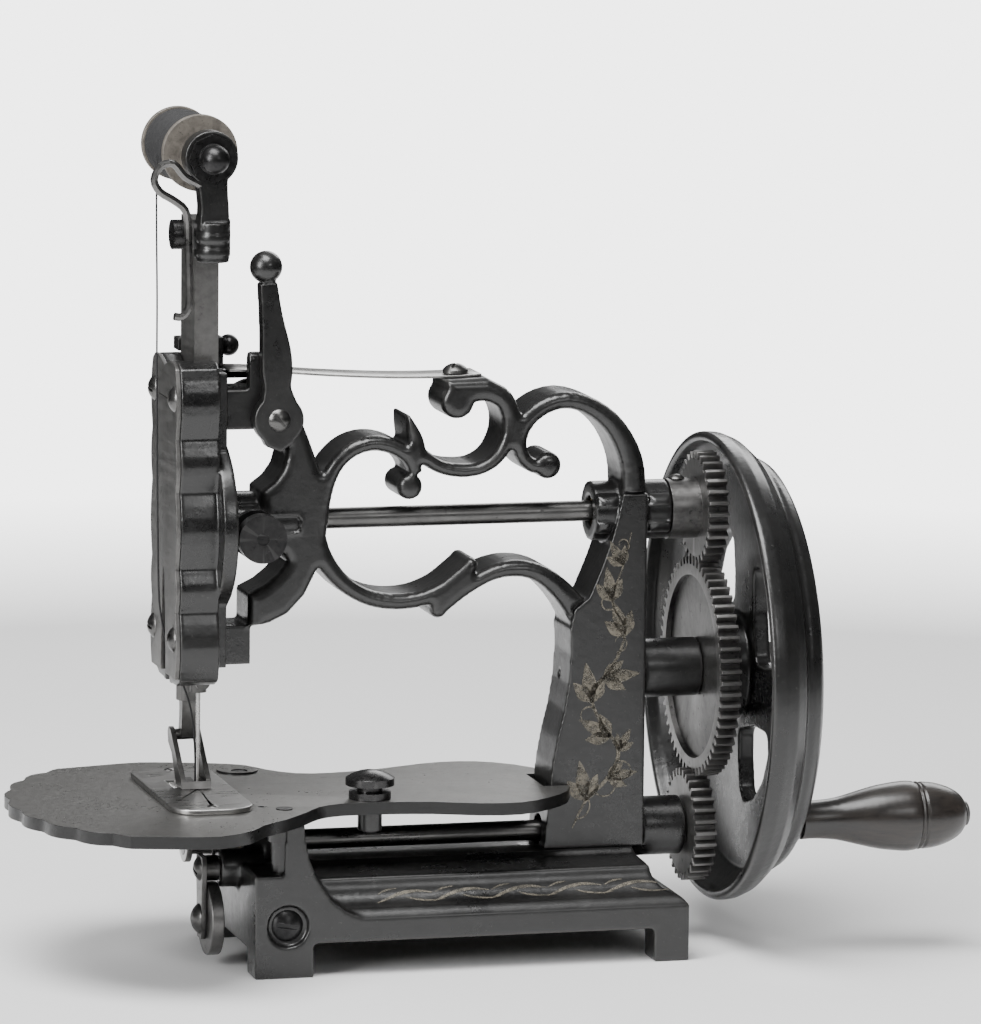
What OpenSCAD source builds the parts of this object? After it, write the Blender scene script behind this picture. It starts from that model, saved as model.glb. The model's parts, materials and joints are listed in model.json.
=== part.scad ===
// Hand-crank chain-stitch sewing machine with an open scroll arm.
// +X runs from the needle head to the hand wheel, +Y to the back, +Z up.
// The origin is on the surface it stands on, under the middle of the machine.

/* [Base] */
// Left face of the base casting
base_left = -89; // [-92:0.5:-86]
// Right end of the base casting
base_right = 71.5; // [70:0.5:76]
// Half depth of the base casting
base_half_depth = 43.5; // [40:0.5:48]
// Height of the flat top that carries the column
base_top = 36.5; // [35.5:0.5:37]
// Width of the left foot block
block_width = 21.5; // [20:0.5:24]
// Width of the right foot
right_foot_width = 13; // [10:0.5:18]
// Height of the arch between the feet
arch_height = 12; // [8:0.5:14]

/* [Gear train] */
// Height of the hand wheel axis
wheel_z = 100; // [99:0.5:101]
// Tooth module of all three gears
gear_module = 1.3; // [1.3:0.1:1.3]
// Teeth on the wheel gear
wheel_teeth = 60; // [60:2:60]
// Teeth on each shaft gear
pinion_teeth = 30; // [30:2:30]
// Left face of the wheel gear
gear_x = 83.5; // [83:0.5:84]
// Face width of the gears
gear_width = 7.5; // [6:0.5:8]
// Radius of the main shaft and the lower shaft
shaft_r = 3.75; // [3.5:0.05:3.75]

/* [Hand wheel] */
// Outer radius of the hand wheel
wheel_r = 85.7; // [83:0.1:87]
// Left edge of the hand wheel rim
wheel_x = 89; // [88:0.5:92]
// Width of the hand wheel rim
rim_width = 23; // [20:0.5:23]
// Number of windows in the web, with a broad curved spoke between each two
windows = 4; // [3:1:4]
// Turn of the first window about the axle
window_turn = 237; // [230:1:240]
// Crank spindle position, front to back
crank_y = -44; // [-46:1:-42]
// Crank spindle position, below the wheel axis
crank_drop = 50; // [48:1:52]
// Largest radius of the wooden grip
grip_r = 12.7; // [11:0.1:13]

/* [Arm and head] */
// Depth of the scroll arm, front to back
arm_depth = 20; // [16:1:22]
// Depth of the column, front to back
column_depth = 24; // [22:1:26]
// Left face of the head casting
head_x = -111.8; // [-112:0.2:-111]
// Top of the head casting
head_top = 218; // [214:1:220]
// Bottom of the head casting
head_bottom = 102; // [100:1:104]
// Half depth of the head at its notches
head_half_depth = 20; // [20:0.5:21]
// How far each scallop of the head stands out
scallop = 2.2; // [1:0.1:3]
// Thickness of the face plate
face_plate_t = 1.6; // [1.4:0.1:3]

/* [Bed] */
// Height of the cloth plate's upper face
bed_top = 60; // [59:0.5:61]
// Thickness of the cloth plate
bed_t = 4.5; // [3.5:0.5:4.5]
// Thickness of the needle plate
needle_plate_t = 2; // [1.5:0.25:2]

/* [Needle and presser] */
// Middle of the needle bar, left to right
needle_x = -100.5; // [-100.5:0.5:-100.5]
// Thickness of the needle bar, left to right
bar_t = 8.7; // [8:0.1:8.8]
// Width of the needle bar, front to back
bar_w = 22.6; // [20:0.1:23]
// Top of the needle bar
bar_top = 268; // [264:1:270]
// Stroke of the needle bar
stroke = 18; // [14:1:18]
// Presser bar radius
presser_r = 2.75; // [2.5:0.05:2.75]

/* [Thread and spool] */
// Height of the spool spindle
spool_z = 291; // [290:0.5:294]
// Radius of the spool flanges
spool_r = 13.7; // [13:0.1:15]
// Length of the spool
spool_length = 39; // [32:1:40]

/* [Hidden] */
$fn = 48;

// Fits
running = 0.05;
gap = 0.3;
eps = 0.01;
// Puts the middle of the whole box over the origin
middle_shift = -2.9;

// Gear centres
centre_distance = gear_module * (wheel_teeth + pinion_teeth) / 2;
top_z = wheel_z + centre_distance;
low_z = wheel_z - centre_distance;

// Cast boss radius round every shaft
boss_r = 10.8;
bushing_r = 5.5;
frame_right = 63;
// Where the arm's boss meets the disc of the head
head_face = -92.6;
rocker_y = -14;
rocker_z = 35.3;
rocker_disc_z = 17;
lever_x = -75.5;
lever_z = 197;
presser_x = -100.5;
spool_x = -100.8;
spool_y = -1.5;
presser_y = 16.4;
bed_under = bed_top - bed_t;
knob_x = -42.2;
knob_y = -22;
post_x = -77;
post_y = 36;
slot_side = 0.4;
flange_t = 2.6;
cheek_x = [-107.2, -98];
cheek_t = 1.8;
foot_socket_top = 97.4;
cover_screw_y = 16.6;
cover_screw_z = [119, 205.2];
bolt_x = [33, 48];
bolt_y = 8.6;
block_top = 37.4;

IRON = [0.10, 0.10, 0.10];
STEEL = [0.42, 0.41, 0.39];
BRASS = [0.50, 0.42, 0.26];
WOOD = [0.16, 0.11, 0.08];

module centred() {
    translate([middle_shift, 0, 0]) children();
}

// ---------- shared shapes ----------
module rod_x(x0, x1, r, y = 0, z = 0) {
    translate([x0, y, z]) rotate([0, 90, 0]) cylinder(h = x1 - x0, r = r);
}
module rod_y(y0, y1, r, x = 0, z = 0) {
    translate([x, y0, z]) rotate([-90, 0, 0]) cylinder(h = y1 - y0, r = r);
}
module rod_z(z0, z1, r, x = 0, y = 0) {
    translate([x, y, z0]) cylinder(h = z1 - z0, r = r);
}
module block(x0, x1, y0, y1, z0, z1) {
    translate([x0, y0, z0]) cube([x1 - x0, y1 - y0, z1 - z0]);
}
// An outline drawn as (x, z), carried from y0 to y1
module slab_y(y0, y1) {
    translate([0, y1, 0]) rotate([90, 0, 0]) linear_extrude(y1 - y0) children();
}
// An outline drawn as (y, z), carried from x0 to x1
module slab_x(x0, x1) {
    translate([x0, 0, 0]) rotate([90, 0, 90]) linear_extrude(x1 - x0) children();
}
// A round-headed screw: head along +Z from the origin, shank below it, slot across the head
module screw(head_r, head_h, shank_r, shank_l, slot_turn = 30) {
    difference() {
        union() {
            intersection() {
                translate([0, 0, head_h - head_r * 1.25]) sphere(r = head_r * 1.25);
                cylinder(h = head_h + 1, r = head_r);
            }
            translate([0, 0, -shank_l]) cylinder(h = shank_l + eps, r = shank_r);
        }
        rotate([0, 0, slot_turn])
            translate([-head_r - 1, -head_r * 0.11, head_h * 0.55])
                cube([2 * head_r + 2, head_r * 0.22, head_h]);
    }
}

// Points of a circular arc from angle a0 to a1
function arc(cx, cz, r, a0, a1, n = 12) =
    [for (i = [0:n]) let(a = a0 + (a1 - a0) * i / n) [cx + r * cos(a), cz + r * sin(a)]];
// Smooth curve through a list of points of any dimension
function curve_at(p, i, t) = let(
    n = len(p) - 1,
    a = p[max(i - 1, 0)], b = p[i], c = p[min(i + 1, n)], d = p[min(i + 2, n)])
    0.5 * ((2 * b) + (c - a) * t + (2 * a - 5 * b + 4 * c - d) * t * t + (3 * b - a - 3 * c + d) * t * t * t);
function smooth(p, steps) = concat(
    [for (i = [0:len(p) - 2]) for (s = [0:steps - 1]) curve_at(p, i, s / steps)], [p[len(p) - 1]]);
function unit(v) = v / norm(v);
// A flat ribbon: each point is [x, z, width]
function ribbon_side(q, side) = [for (i = [0:len(q) - 1]) let(
    a = q[max(i - 1, 0)], b = q[min(i + 1, len(q) - 1)],
    t = unit([b[0] - a[0], b[1] - a[1]]))
    [q[i][0] - side * t[1] * q[i][2] / 2, q[i][1] + side * t[0] * q[i][2] / 2]];
function reversed(p) = [for (i = [len(p) - 1:-1:0]) p[i]];
module ribbon(path, steps = 3) {
    q = smooth(path, steps);
    polygon(concat(ribbon_side(q, 1), reversed(ribbon_side(q, -1))));
}
// A round wire or thread swept along points
module tube(path, r, sides = 8) {
    n = len(path);
    function tangent(i) = unit(path[min(i + 1, n - 1)] - path[max(i - 1, 0)]);
    points = [for (i = [0:n - 1]) let(
        t = tangent(i),
        u = unit(cross(t, abs(t[1]) < 0.8 ? [0, 1, 0] : [1, 0, 0])), v = cross(t, u))
        for (k = [0:sides - 1]) path[i] + r * (u * cos(360 * k / sides) + v * sin(360 * k / sides))];
    faces = concat(
        [[for (k = [0:sides - 1]) k]],
        [for (i = [0:n - 2]) for (k = [0:sides - 1]) let(m = (k + 1) % sides)
            [i * sides + k, (i + 1) * sides + k, (i + 1) * sides + m, i * sides + m]],
        [[for (k = [sides - 1:-1:0]) (n - 1) * sides + k]]);
    polyhedron(points, faces, convexity = 8);
}

// ---------- scroll arm outlines, [x, z, width] ----------
rear_scroll = [[58.4, 150, 9.2], [58.4, 165, 9.2], [57.2, 178, 8.8], [51.5, 189.6, 7.6], [43, 197.2, 6.6],
    [33, 200.4, 6.2], [24, 198.2, 6.2], [17.4, 192.5, 6.2], [15.2, 185.4, 5.6], [17.2, 179.4, 5.2], [22, 176, 5]];
rear_curl = [26, 176.9, 4.9];
ring_scroll = [[-25, 184.5, 4.5], [-19.6, 180.9, 5], [-14, 177.4, 4.8], [-7, 175.9, 5], [0.4, 176.4, 4.8], [6.8, 180, 5],
    [10.8, 186.8, 5.6], [12, 194.4, 6.8], [9.4, 201.2, 7.2], [3, 204.4, 7.4], [-4, 203.8, 7.2]];
ring_curl = [-7.9, 200.9, 6.2];
front_scroll = [[-58.4, 163, 7], [-56.2, 172, 6.4], [-52.2, 179.6, 5.6], [-46, 184.8, 5.6], [-38.6, 186.6, 5.6],
    [-31.2, 185, 5.6], [-25.4, 180.8, 5.4], [-22.9, 175, 5]];
front_curl = [-25.3, 170.6, 4.7];
leaf = [[-22.4, 181, 7], [-23.2, 187, 6], [-24.8, 192, 4], [-26.3, 196.6, 1.2]];
lower_scroll = [[-61.5, 158, 9], [-58.2, 148, 7.4], [-53.2, 140.2, 6.2], [-47, 134.4, 5.8], [-39, 130.4, 5.8],
    [-30, 128.9, 5.8], [-21, 129.7, 5.8], [-12.5, 133, 5.8], [-6, 138, 5.6], [-2.6, 141.2, 5]];
lower_tip = [-2.4, 141.5, 2.7];
rear_arch = [[-13.5, 126, 5], [-7.5, 130.6, 4.8], [-1, 135, 5.2], [6, 138.4, 5.6], [14, 139.7, 6], [22, 138.2, 6.4],
    [29, 133.6, 7.2], [36, 126, 8.6], [42, 116, 10]];
arch_curl = [-14.4, 125.6, 3.1];

module disc2(c) {
    translate([c[0], c[1]]) circle(r = c[2]);
}
module column_outline() {
    polygon(concat(
        [[25.5, base_top], [frame_right, base_top], [frame_right, 166], [53.8, 166], [52, 157], [50, 150]],
        [[46, 139], [41.5, 128.4], [36, 124], [34.6, 117]],
        [[34.9, 108], [34.2, 97], [32.6, 87], [30.2, 77], [28.4, 67], [27.2, 55], [26.2, 44]]));
}
module lobe_outline() {
    polygon(concat(
        [[-81, 206], [-70.5, 206], [-66.5, 198.5], [-62.4, 188.5], [-58.4, 177.5], [-55.4, 168], [-55, 160],
         [-56.6, 150], [-59.6, 141], [-63.8, 132.6], [-70, 126], [-77, 122.6], [-84.5, 121.6]],
        [[-84.5, 133.6], [-78.6, 136.4], [-73.6, 140.4], [-70.3, 145], [-72.3, 147.8], [-80, 148.4]],
        [[-80, 170.6], [-75.6, 173.8], [-72.4, 178.2], [-71, 183.4], [-71.6, 188], [-76, 193], [-81, 193]]));
}

// ---------- fixed castings ----------
module base_section() {
    // One half of the moulded front, then its mirror image: a plain lip, a cove and a flat top
    d = base_half_depth;
    front = concat([[-d, arch_height], [-d, 20.5], [-d + 1.6, 22.4]],
        arc(-d + 2.2, 33, 9.4, -84, -8, 8),
        [[-31.6, 33.2], [-27.5, 33.8], [-16.4, 34.6], [-14.6, base_top]]);
    polygon(concat(front, [for (p = reversed(front)) [-p[0], p[1]]]));
}
module bracket_outline() {
    polygon([[-79, block_top - 2], [-78, bed_under], [-71, bed_under], [-71, 51], [-69.4, 43.3], [-66.6, 36.5], [-63.6, 31.5],
        [-60.4, 26.9], [-55.3, 23.3], [-49, 20.5], [-68, 20.5], [-72, 30]]);
}
module base() {
    color(IRON) {
        block_right = base_left + block_width;
        difference() {
            union() {
                intersection() {
                    slab_x(base_left, base_right) base_section();
                    slab_y(-base_half_depth, base_half_depth) base_end_outline();
                }
                // Left block with its two feet, and the right feet
                block(base_left, block_right, -base_half_depth, base_half_depth, 0, block_top);
                slab_y(-base_half_depth, -30) bracket_outline();
                block(base_right - right_foot_width, base_right, -base_half_depth, base_half_depth, 0, 20.4);
                // Tower that carries the lower shaft and the cloth plate
                block(-86, -69, -14, 14, 34, bed_under);
                slab_y(-14, 14) polygon(concat([[-69.5, 34]], [[-69.5, 54]], arc(-61, 45.2, 8, 176, 262, 6), [[-60, 34]]));
                rod_x(-96.1, -80, 7, rocker_y, rocker_z);
            }
                    for (x = bolt_x) for (side = [-1, 1]) rod_z(20, 40, 1.8, x, side * bolt_y);
            // Hollow under the casting
            block(block_right + 6, base_right - right_foot_width - 5, -28, 28, -1, 27);
            block(block_right, base_right - right_foot_width, -60, 60, -1, arch_height);
            block(base_left - 1, block_right + 1, -30, 30, -1, 9);
            block(base_right - right_foot_width - 1, base_right + 1, -30, 30, -1, 9);
            rod_x(-99, -79, 3 + running, rocker_y, rocker_z);
            rod_x(-87, -68, bushing_r, 0, low_z);
            // Seats of the posts, the clamp screw and the shaft
            for (side = [-1, 1]) rod_z(30, 40, 3, post_x, side * post_y);
            rod_z(block_top, 60, 6.9, post_x, -post_y);
            rod_y(-50, -41.5, 7.6, post_x, 18.8);
            rod_y(-50, -25, 4, post_x, 18.8);
            rod_x(-70, 20, shaft_r + 1, 0, low_z);
            rod_x(19, 80, bushing_r, 0, low_z);
            rod_x(frame_right - 6, 80, boss_r, 0, low_z);
        }
    }
}
module base_end_outline() {
    x1 = base_right;
    polygon(concat([[base_left, 0], [x1, 0], [x1, 20.5], [x1 - 1.6, 22.4]],
        arc(x1 - 2.2, 33, 9.4, -96, -172, 8),
        [[x1 - 12, 33.4], [x1 - 7.6 - 5, 34.2], [x1 - 13.5, base_top + 1], [base_left, base_top + 1]]));
}
module arm_frame() {
    half = arm_depth / 2;
    color(IRON) difference() {
        union() {
            slab_y(-column_depth / 2, column_depth / 2) column_outline();
            slab_y(-half, half) {
                ribbon(rear_scroll);
                disc2(rear_curl);
                ribbon(ring_scroll);
                disc2(ring_curl);
                polygon([[-12.4, 203], [-12.4, 208.8], [3, 209.3], [10.4, 205.4], [9, 200]]);
                ribbon(front_scroll);
                disc2(front_curl);
                ribbon(leaf);
                ribbon(lower_scroll);
                disc2(lower_tip);
                ribbon(rear_arch);
                disc2(arch_curl);
                lobe_outline();
            }
            // Shaft bosses
            rod_x(head_face, -66, boss_r, 0, top_z);
            rod_x(44, 72.6, boss_r, 0, top_z);
            rod_x(60, gear_x + 1.7, 10.7, 0, wheel_z);
            rod_x(60, 79.6, boss_r, 0, low_z);
            // Upper bracket to the head, with its lug, and the lower block
            block(-93.5, -79.5, -12, 7, 193, 207.5);
            block(-81, -70.6, -12, 7, 193, 206);
            block(-85, -79.5, -12, -6.5, 207, 218);
            rod_x(-85, -79.5, 2.75, -9.25, 218);
            block(-93.5, -83.5, -9, 9, 108, 122.2);
        }
        rod_x(-95, -60, bushing_r, 0, top_z);
        rod_x(-70, 46, shaft_r + 1, 0, top_z);
        rod_x(43, 73, bushing_r, 0, top_z);
        rod_x(40, 90, 5, 0, wheel_z);
        rod_x(20, 90, bushing_r, 0, low_z);
        rod_y(-20, 20, 3 + running, lever_x, lever_z);
        rod_z(196, 210, 2.1, -6.3, 0);
        rod_y(-20, -6.8, 3, -83.5, 156);
        for (x = bolt_x) for (side = [-1, 1]) rod_z(30, 47.5, 1.8, x, side * bolt_y);
        // Oil hole in the column
        rod_x(30, 40, 1.2, 2, 99);
    }
}
// Outline of the head and its cover in (y, z): five scallops a side
lobes = [[head_bottom + 2, 129], [129, 144.5], [144.5, 172], [172, 191], [191, head_top - 2]];
function head_side(inset) = [for (l = lobes) for (i = [0:5]) let(t = i / 6, h = l[1] - l[0])
    [head_half_depth - inset + scallop * sqrt(h / 20) * sin(180 * t), l[0] + h * t]];
module head_outline(inset = 0) {
    side = concat(head_side(inset), [[head_half_depth - inset - 0.4, head_top - 2]]);
    bottom = [[0, head_bottom - 1]];
    right_half = concat(bottom, [[head_half_depth - inset - 5, head_bottom]], side,
        [[head_half_depth - inset - 4, head_top], [9, head_top], [0, head_top - 2.5]]);
    polygon(concat(right_half, [for (p = reversed(right_half)) [-p[0], p[1]]]));
}
module head_casting() {
    color(IRON) difference() {
        union() {
            slab_x(head_x, -97.5) head_outline();
            block(-98, -93.5, -15, 15, 108, 214);
            rod_x(-98, head_face, 31, 0, top_z);
        }
        // Channel of the needle bar, open at both ends
        block(needle_x - bar_t / 2 - slot_side, needle_x + bar_t / 2 + slot_side,
            -bar_w / 2 - slot_side, bar_w / 2 + slot_side, 90, 230);
        // Channel of the thread behind the cover
        block(head_x - 1, needle_x, -2.6, 2.6, 95, 146);
        rod_z(90, 230, presser_r + running, presser_x, presser_y);
        // Chamber of the crank disc, and the main shaft's hole
        rod_x(-100, -93.7, 14.5, 0, top_z);
        rod_x(-94, -90, shaft_r + 1, 0, top_z);
        for (side = [-1, 1]) for (z = cover_screw_z) rod_x(head_x - 1, head_x + 6, 1.6, side * cover_screw_y, z);
    }
}
module face_plate() {
    color(STEEL) difference() {
        slab_x(head_x - face_plate_t, head_x) head_outline(0.6);
        block(head_x - 9, head_x + 1, -30, 30, 90, head_bottom + 3);
        // Thread slot: an inverted V, open at the bottom
        slab_x(head_x - 9, head_x + 1) polygon([[-5, 90], [-3, 120], [-1.2, 141], [0, 143], [1.2, 141], [3, 120], [5, 90]]);
        for (side = [-1, 1]) for (z = cover_screw_z) rod_x(head_x - 9, head_x + 1, 1.6, side * cover_screw_y, z);
    }
}
module face_plate_screws() {
    color(STEEL) for (side = [-1, 1]) for (z = cover_screw_z)
        translate([head_x - face_plate_t, side * cover_screw_y, z]) rotate([0, -90, 0])
            screw(4.6, 2.2, 1.6, 6, 20 + 55 * side);
}

// ---------- bed ----------
// Left lobe: centre, half sizes, and the depth of its scallops
bed_lobe = [-118, -8.5, 53, 72.5];
scallop_depth = 0.035;
function lobe_pts(a0, a1, n) =
    [for (i = [0:n]) let(a = a0 + (a1 - a0) * i / n, k = 1 - scallop_depth * (1 - abs(cos(11 * a))))
        [bed_lobe[0] - bed_lobe[2] * k * cos(a), bed_lobe[1] + bed_lobe[3] * k * sin(a)]];
bed_back = [[-117, 62.5], [-108, 63.6], [-97, 61], [-84, 57], [-72, 51], [-66, 40.5], [-57, 31], [-44, 29.2], [-26, 33],
    [-7, 40.5], [7, 42], [19, 37.6], [31, 24], [36, 2]];
bed_front = [[36, -8], [31, -23], [21.4, -33.7], [9, -41], [-6, -39.6], [-22, -33.5], [-40, -30.5], [-55, -30.5], [-64, -35],
    [-71, -44], [-81, -55.5], [-90, -63], [-98, -74], [-110, -81], [-121, -79.6]];
module bed_outline() {
    polygon(concat(lobe_pts(0, 65, 40), smooth(bed_back, 2), smooth(bed_front, 2), lobe_pts(-65, -1.6, 40)));
}
module bed_plate() {
    color(IRON) difference() {
        union() {
            translate([0, 0, bed_under]) linear_extrude(bed_t) bed_outline();
            rod_z(bed_top - 2, bed_top + 0.8, 7.6, -77, 39);
        }
        // Fits round the column
        block(25, 80, -column_depth / 2 - gap, column_depth / 2 + gap, 50, 70);
        // Needle, feed, post, knob and screw holes
        rod_z(50, 70, 3, needle_x, 0);
        block(-109.5, -104.5, 1, 17, 50, 70);
        for (side = [-1, 1]) rod_z(50, 70, 3, post_x, side * post_y);
        rod_z(50, 70, 3 + running, knob_x, knob_y);
        for (side = [-1, 1]) rod_z(50, 70, 1.5, -103, side * 36);
        rod_z(50, 70, 1.2, -84, -30);
    }
}
module rounded_rect(x0, x1, y0, y1, r) {
    translate([x0 + r, y0]) square([x1 - x0 - 2 * r, y1 - y0]);
    translate([x0, y0 + r]) square([x1 - x0, y1 - y0 - 2 * r]);
    for (x = [x0 + r, x1 - r]) for (y = [y0 + r, y1 - r]) translate([x, y]) circle(r = r);
}
module needle_plate() {
    color(STEEL) difference() {
        translate([0, 0, bed_top]) linear_extrude(needle_plate_t) rounded_rect(-118, -88, -42, 42, 10);
        rod_z(50, 70, 1.4, needle_x, 0);
        block(-109, -105, 1.5, 16.5, 50, 70);
        for (side = [-1, 1]) rod_z(50, 70, 1.5, -103, side * 36);
    }
}
module column_bolts() {
    // Four screws from the hollow of the base up into the column
    color(STEEL) for (x = bolt_x) for (side = [-1, 1]) {
        rod_z(27, 47, 1.8, x, side * bolt_y);
        rod_z(24, 27, 3.4, x, side * bolt_y);
    }
}
module needle_plate_screws() {
    color(STEEL) for (side = [-1, 1]) translate([-103, side * 36, bed_top + needle_plate_t])
        screw(2.8, 0.7, 1.5, 5, 30);
}
module bed_posts() {
    color(IRON) for (side = [-1, 1]) translate([post_x, side * post_y, 0]) {
        rod_z(30, block_top, 3);
        rod_z(block_top, 40.6, 4.4);
        rod_z(40.6, 48.6, 4.8);
        rod_z(48.6, bed_under, 5.9);
        rod_z(bed_under, bed_top + 0.4, 3);
    }
}
module block_screw() {
    color(STEEL) translate([post_x, -41.5, 18.8]) rotate([90, 0, 0]) screw(7, 2.2, 4, 16, -10);
}
module bed_knob_nut() {
    color(IRON) difference() {
        rod_z(48.5, bed_under, 4.4, knob_x, knob_y);
        rod_z(48, 60, 3 + running, knob_x, knob_y);
    }
}
module feed_guide() {
    color(STEEL) difference() {
        block(-113.5, -102.7, 17.5, 23, 47.8, bed_under);
        block(-111.2, -104.8, 17, 24, 50, 54.4);
    }
}

// ---------- fixed shafts, bushes and springs ----------
module gear_stud() {
    color(STEEL) {
        rod_x(40, 112, 5, 0, wheel_z);
    }
}
module stud_nut() {
    color(STEEL) difference() {
        rod_x(110.9, 116.5, 8, 0, wheel_z, $fn = 6);
        rod_x(110, 112, 5, 0, wheel_z);
    }
}
module bushing(x0, x1, z) {
    difference() {
        rod_x(x0, x1, bushing_r, 0, z);
        rod_x(x0 - 1, x1 + 1, shaft_r + running, 0, z);
    }
}
module main_bushings() {
    color(BRASS) {
        bushing(head_face, -60.5, top_z);
        bushing(46, 72.6, top_z);
    }
}
module lower_bushings() {
    color(BRASS) {
        bushing(-86, -69, low_z);
        bushing(48, 79.6, low_z);
    }
}
// The spring bends over the lifter yoke, so it is drawn in its low, pressed place
spring_line = [[2, 209.9, 0.8], [-10, 209.4, 0.8], [-30, 209.6, 0.8], [-55, 211, 0.8], [-78, 213, 0.8], [-91, 213.6, 0.8]];
module leaf_spring() {
    color(STEEL) difference() {
        slab_y(-5.8, 11) ribbon(spring_line, 3);
        rod_z(200, 220, 2.1, -6.3, 0);
    }
}
module spring_screw() {
    color(STEEL) translate([-6.3, 0, 210.2]) screw(4.6, 3.4, 2, 12, 60);
}

// ---------- presser lifter ----------
module lifter_lever() {
    color(IRON) difference() {
        union() {
            rod_y(-19, -12.4, 9, lever_x, lever_z);
            slab_y(-19, -12.4) {
                ribbon([[-75.2, 200, 15], [-76, 208, 9.8], [-76.2, 214, 11], [-76.6, 222, 10.4], [-78.2, 234, 7.6], [-79.6, 246, 6.2]]);
                polygon([[-84, 196], [-80, 187.6], [-75, 185.6], [-70, 189], [-69, 196]]);
            }
            translate([-80, -15.7, 251.6]) sphere(r = 5.8);
        }
        rod_y(-20, -10, 3, lever_x, lever_z);
    }
}
lift_rate = 2.6;
cam_y = 10.4;
module lifter_cam() {
    // The rim rises with the turn, so the yoke is lifted steadily
    color(STEEL) difference() {
        slab_y(cam_y, cam_y + 4) polygon(concat(
            [for (a = [-12:6:90]) let(r = 11 + lift_rate * max(a, 0) * PI / 180)
                [lever_x - r * sin(a), lever_z + r * cos(a)]],
            arc(lever_x, lever_z, 5.6, 190, 400, 14)));
        rod_y(cam_y - 1, cam_y + 5, 3, lever_x, lever_z);
    }
}
module lever_screw() {
    color(STEEL) {
        rod_y(-19, cam_y + 4, 3, lever_x, lever_z);
        translate([lever_x, -19, lever_z]) rotate([90, 0, 0]) screw(4.6, 1.6, 2.5, 1, -50);
    }
}
module presser_bar() {
    color(STEEL) rod_z(foot_socket_top - 3, 224, presser_r, presser_x, presser_y);
}
module lifter_yoke() {
    color(IRON) difference() {
        union() {
            block(-105.5, -92.4, 12.4, 20.4, 218.6, 223.4);
            block(-92.8, -88.8, 12.4, 19.4, 208.6, 223.4);
            block(-92.8, -72, cam_y, 15.4, 208.6, 211.6);
        }
        rod_z(210, 230, presser_r, presser_x, presser_y);
    }
}
module yoke_knob() {
    color(IRON) {
        translate([-86.4, 15.9, 220]) sphere(r = 3.9);
        rod_x(-93.5, -86, 1.6, 15.9, 220);
    }
}
module presser_foot() {
    color(STEEL) {
        difference() {
            rod_z(foot_socket_top - 5.9, foot_socket_top, 4.4, presser_x, presser_y);
            rod_z(foot_socket_top - 3, foot_socket_top + 1, presser_r, presser_x, presser_y);
        }
        // Curved shank, the pin through it, two sloping cheeks and the toe that joins them
        slab_x(presser_x - 2.9, presser_x + 2.9)
            ribbon([[presser_y, 94, 6], [15.6, 89, 5.2], [16.2, 83, 4.8], [17.4, 78.4, 5]], 3);
        rod_x(cheek_x[0], cheek_x[1] + cheek_t, 2, 17.4, 78.6);
        for (x = cheek_x) slab_x(x, x + cheek_t)
            polygon([[20.4, 79.6], [18.6, 81.4], [15.4, 80.6], [-2.4, 65.4], [-3.6, 62.2], [6, 62.2], [13.6, 72.6], [19.4, 75.6]]);
        difference() {
            slab_x(cheek_x[0], cheek_x[1] + cheek_t) polygon([[-3.6, 62.2], [-2.8, 64.8], [4.4, 65.2], [6, 62.2]]);
            block(needle_x - 1.7, needle_x + 1.7, -1.8, 7, 60, 70);
        }
    }
}
module foot_screw() {
    color(STEEL) translate([presser_x, presser_y + 4.2, foot_socket_top - 3]) rotate([-90, 0, 0]) screw(2.4, 1.6, 1.2, 1, 40);
}

// ---------- needle bar and what rides on it ----------
module needle_bar() {
    x0 = needle_x - bar_t / 2;
    x1 = needle_x + bar_t / 2;
    color(STEEL) difference() {
        block(x0, x1, -bar_w / 2, bar_w / 2, 106, bar_top);
        // Relief over the crank disc for the whole stroke
        block(-100, x1 + 1, -bar_w / 2 - 1, bar_w / 2 + 1, top_z - 16 - stroke, top_z + 17);
        rod_x(-112, -90, 2, 0, 262);
        rod_z(100, 112, 1.6, needle_x, 0);
    }
}
module needle_clamp() {
    color(STEEL) difference() {
        union() {
            rod_z(104, 112, 1.6, needle_x, 0);
            rod_z(97, 106, 3, needle_x, 0);
            rod_y(-6.2, 0, 1.6, needle_x, 101.5);
            rod_y(-8, -5, 2.6, needle_x, 101.5);
        }
        rod_z(96, 103, 0.8, needle_x, 0);
    }
}
module needle() {
    color(STEEL) {
        rod_z(54, 103, 0.8, needle_x, 0);
        translate([needle_x, 0, 50]) cylinder(h = 4 + eps, r1 = 0.12, r2 = 0.8);
    }
}
module spool_bracket() {
    color(IRON) difference() {
        union() {
            rod_z(254, 268, 5.6, -99.6, -17.4);
            for (z = [256.5, 261.5]) rod_z(z, z + 2.4, 6.05, -99.6, -17.4);
            slab_y(-20.5, -12.5) ribbon([[-99.6, 266, 11], [-99.6, 274, 10], [-100.3, 282, 10.6], [spool_x, 290, 13]]);
            rod_y(-20.5, -12.5, 9.6, spool_x, spool_z);
            // Ear that clamps on the bar
            block(-105.4, -93.6, -17.4, -bar_w / 2, 255, 268.5);
            block(needle_x + bar_t / 2, -92, -12, 6, 255, 268.5);
        }
        rod_y(-25, -10, 2.5, spool_x, spool_z);
        rod_x(-97, -90, 2, 0, 262);
    }
}
module bracket_nut() {
    color(STEEL) {
        rod_x(-110.8, -90.5, 2, 0, 262);
        rod_x(-110.8, needle_x - bar_t / 2, 5.3, 0, 262);
        rod_x(-92, -90.2, 3.6, 0, 262);
    }
}
guide_route = [[-104, -19, 281], [-110.5, -20.4, 284.6], [-115, -21.6, 289.4], [-119.6, -22, 288.6], [-122, -22, 284],
    [-119.8, -21.6, 279.6], [-114.6, -20.4, 276.4], [-110, -18.6, 272.6], [-108.6, -16.8, 266], [-108.2, -16.4, 254],
    [-107.8, -16.2, 243], [-108.2, -16.2, 237.4], [-110.6, -16.4, 234.6], [-113.4, -16.6, 234.8]];
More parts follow.
